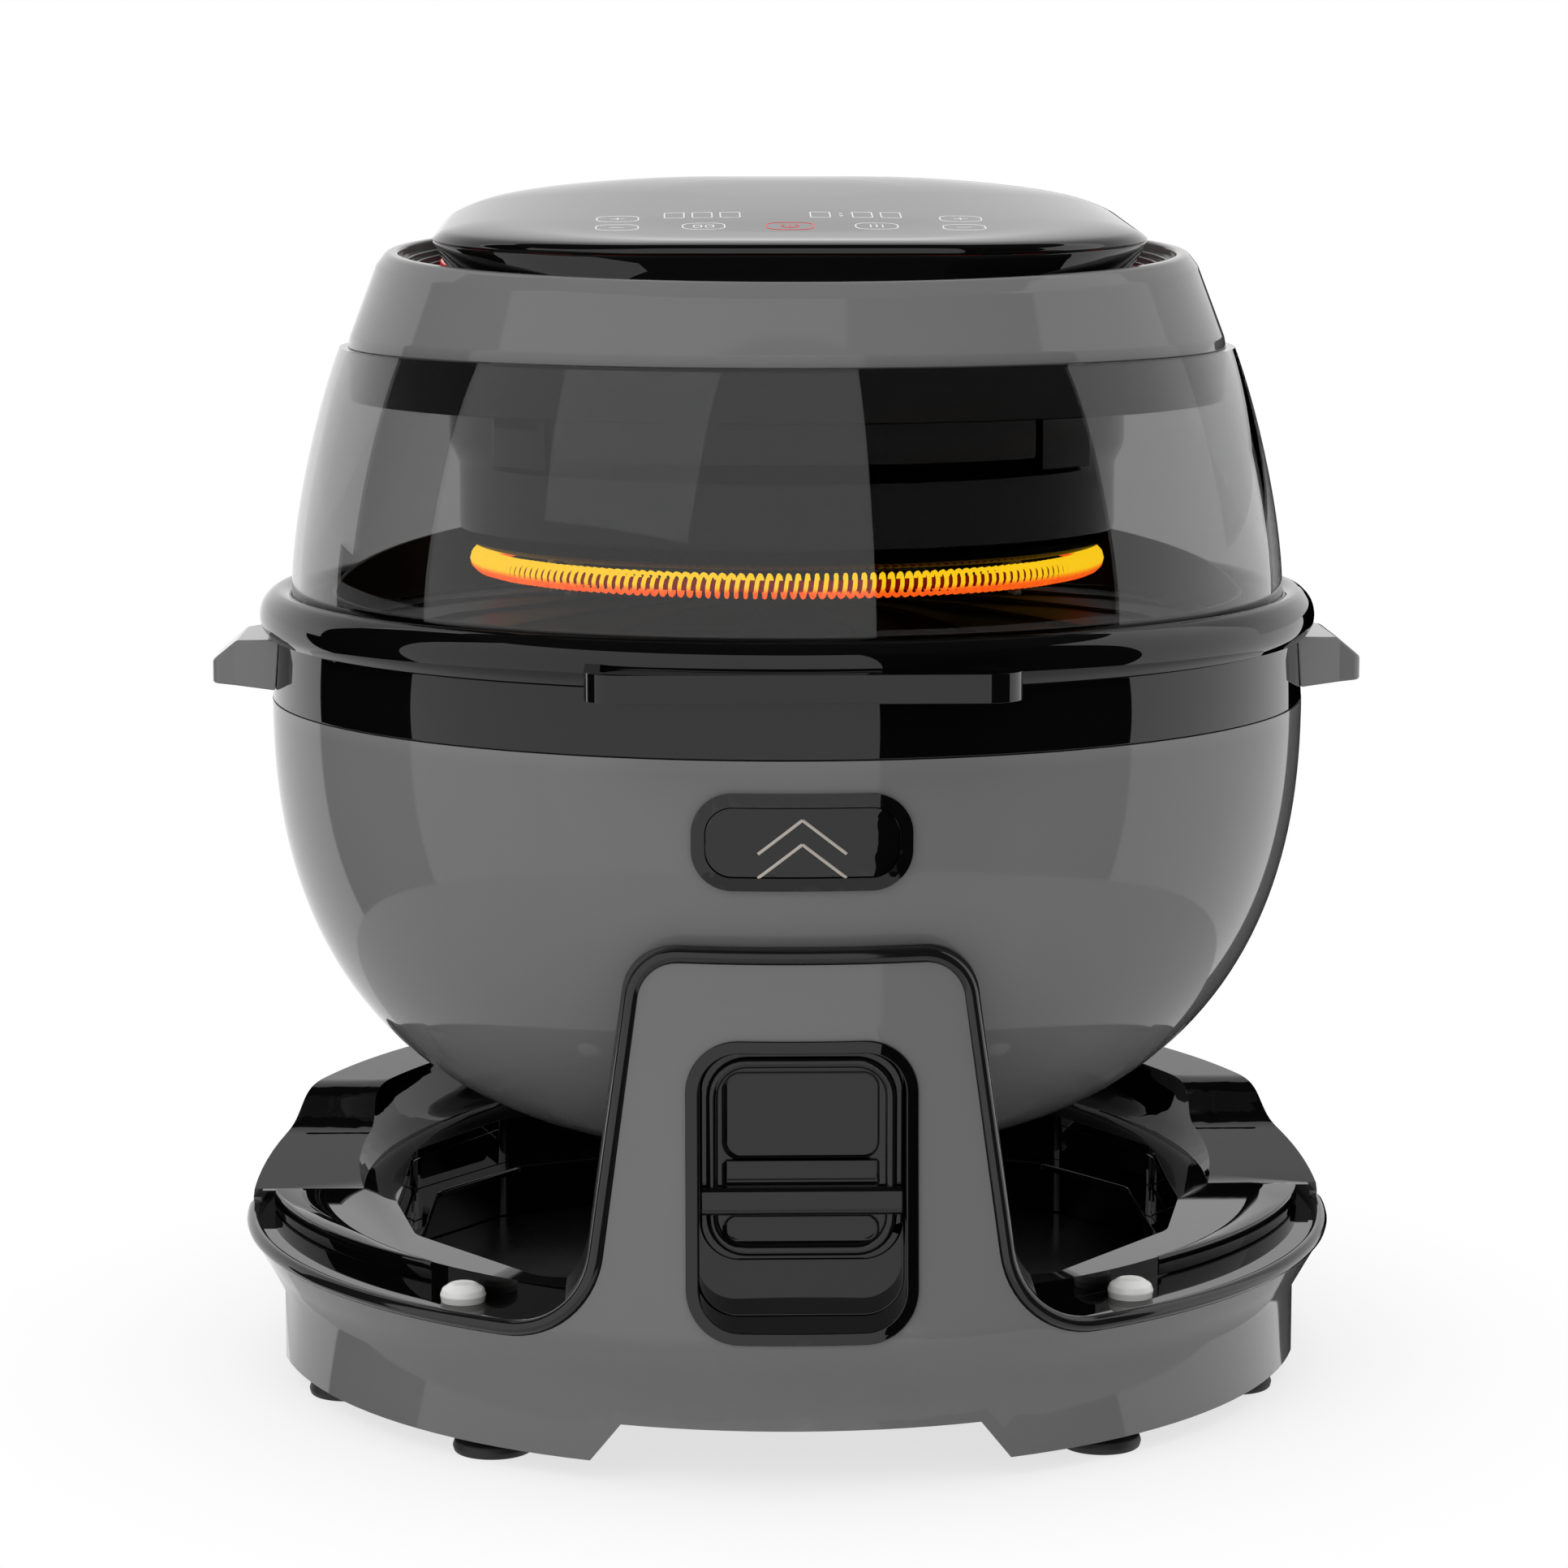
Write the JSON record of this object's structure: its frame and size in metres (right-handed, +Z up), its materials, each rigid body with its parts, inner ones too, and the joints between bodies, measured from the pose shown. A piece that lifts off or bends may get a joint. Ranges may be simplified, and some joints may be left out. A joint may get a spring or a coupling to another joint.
{
  "type": "air fryer grill",
  "caption": "Countertop air fryer grill: round bowl on a stand with a latch tower, hinged smoked dome lid with heater ring, fan and touch control head.",
  "frame": {"origin": "on the floor plane under the rubber feet, below the middle of the whole object, on the bowl's axis", "axes": "+Z up along the bowl's axis, front with the latch tower towards -Y, +X to the viewer's right"},
  "size_m": [0.4, 0.404, 0.4146],
  "materials": {
    "grey_plastic": "satin moulded plastic",
    "dark_trim": "dark gloss bead",
    "black_gloss": "piano black gloss",
    "black_plastic": "satin black moulded plastic",
    "rubber": "matt rubber",
    "white_cap": "smooth white",
    "steel": "bright steel",
    "motor_metal": "plated can",
    "pot_coating": "black non-stick coating",
    "drum_black": "black heat-proof enamel",
    "smoked_glass": "smoked clear glass",
    "red_accent": "red translucent",
    "heater_glow": "glowing resistance wire",
    "ceramic": "ceramic",
    "board_green": "circuit board",
    "display_black": "display block"
  },
  "bodies": {
    "base": {"base_shell": "grey_plastic", "base_trim": "dark_trim", "base_deck": "black_gloss", "deck_well": "black_plastic", "well_ledge": "black_plastic", "base_pan": "black_plastic", "rubber_feet": "rubber", "base_screws": "steel", "rest_bumpers": "white_cap", "bowl_cradle": "black_plastic", "tower_frame": "black_plastic", "latch_tray": "black_gloss", "latch_spring": "steel", "spring_seat": "black_plastic", "bowl_keeper": "black_plastic", "bowl_shell": "grey_plastic", "rim_band": "black_gloss", "handle_left": "grey_plastic", "handle_right": "grey_plastic", "button_bezel": "black_gloss", "button_guide": "black_plastic", "button_spring": "steel", "cooking_pot": "pot_coating", "grill_plate": "pot_coating", "hinge_bracket": "black_plastic", "hinge_pin": "steel", "power_inlet": "black_plastic", "inlet_pins": "steel"},
    "lid": {"lid_flange": "black_gloss", "lid_gasket": "rubber", "lid_tab": "black_gloss", "dome": "smoked_glass", "lid_deck": "black_gloss", "collar": "grey_plastic", "vent_ring": "black_plastic", "accent_ring": "red_accent", "head_base": "black_plastic", "head_housing": "black_gloss", "control_cover": "black_gloss", "control_board": "board_green", "display_module": "display_black", "fan_motor": "motor_metal", "motor_bracket": "steel", "heater_housing": "drum_black", "fan_guard": "steel", "heater_coil": "heater_glow", "heater_core": "ceramic", "heater_clips": "steel", "terminal_block": "ceramic", "temperature_probe": "steel", "hinge_arm": "black_plastic", "lid_screws": "steel"},
    "fan": {"motor_shaft": "steel", "hot_air_fan": "steel", "cooling_fan": "black_plastic"},
    "button": {"release_button": "black_gloss"},
    "latch": {"latch_slider": "black_gloss"}
  },
  "joints": [
    {"name": "lid_hinge", "type": "hinge", "parent": "base", "child": "lid", "pos_m": [0, 0.1925, 0.266], "axis": [-1, 0, 0], "range_deg": [0, 80]},
    {"name": "fan_spin", "type": "hinge", "parent": "lid", "child": "fan", "pos_m": [0, 0, 0.33], "axis": [0, 0, 1], "continuous": true},
    {"name": "release_press", "type": "slide", "parent": "base", "child": "button", "axis": [0, 1, 0], "range_m": [0, 0.003], "stiffness_N_per_m": 900, "springref_m": -0.002, "deforming": ["button_spring"]},
    {"name": "latch_slide", "type": "slide", "parent": "base", "child": "latch", "axis": [0, 0, -1], "range_m": [0, 0.015], "stiffness_N_per_m": 250, "springref_m": -0.006, "deforming": ["latch_spring"]}
  ]
}
